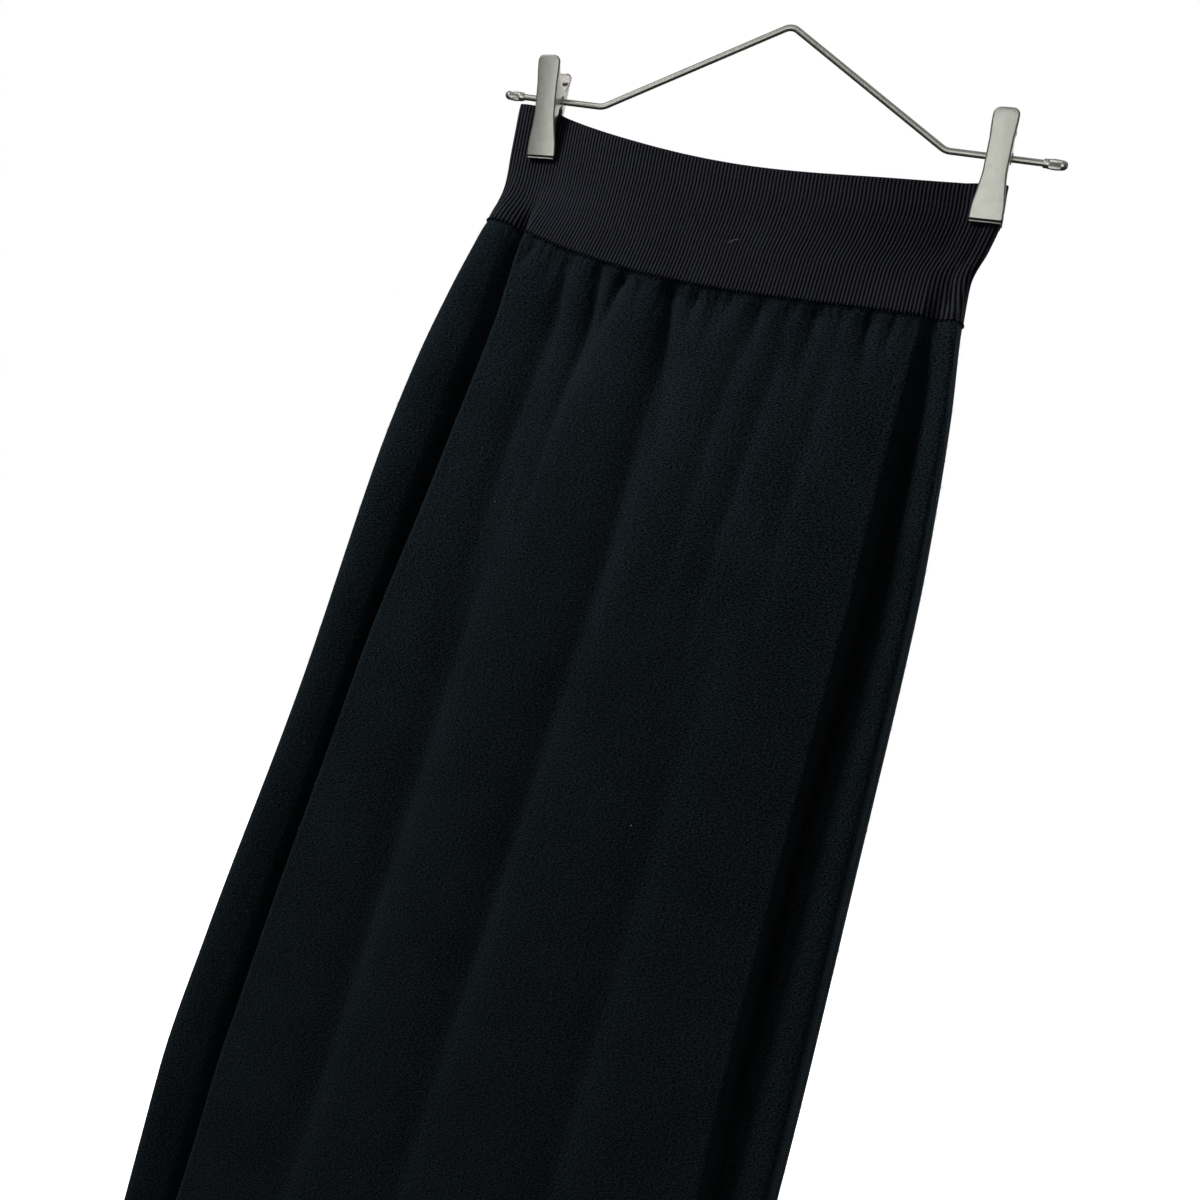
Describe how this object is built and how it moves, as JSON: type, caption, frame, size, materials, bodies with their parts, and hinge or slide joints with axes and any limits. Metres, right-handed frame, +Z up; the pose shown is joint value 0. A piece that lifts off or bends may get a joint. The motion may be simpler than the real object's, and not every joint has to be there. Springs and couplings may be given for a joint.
{
  "type": "long knitted pencil skirt on a two-clip wire hanger",
  "caption": "Long narrow knitted skirt gathered into a ribbed waistband, hanging flat from the sprung clips of a bent-wire hanger.",
  "frame": {"origin": "underside of the hanger's top bend, where a peg carries it", "axes": "+Z up, -Y out of the skirt's front, +X to the right as seen from the front"},
  "size_m": [0.4308, 0.0855, 0.9458],
  "materials": {
    "jersey_knit": "matte fine black jersey knit",
    "rib_knit": "matte black rib knit",
    "hanger_metal": "satin plated steel",
    "cap_metal": "pale knurled metal",
    "clip_pad": "matte black rubber"
  },
  "bodies": {
    "root": {"waistband": "rib_knit", "skirt_front": "jersey_knit", "skirt_back": "jersey_knit", "hanger_wire": "hanger_metal", "end_cap_left": "cap_metal", "end_cap_right": "cap_metal", "clip_left_front_jaw": "hanger_metal", "clip_left_back_jaw": "hanger_metal", "clip_left_front_pad": "clip_pad", "clip_left_back_pad": "clip_pad", "clip_left_spring": "hanger_metal", "clip_right_front_jaw": "hanger_metal", "clip_right_back_jaw": "hanger_metal", "clip_right_front_pad": "clip_pad", "clip_right_back_pad": "clip_pad", "clip_right_spring": "hanger_metal"}
  },
  "joints": []
}
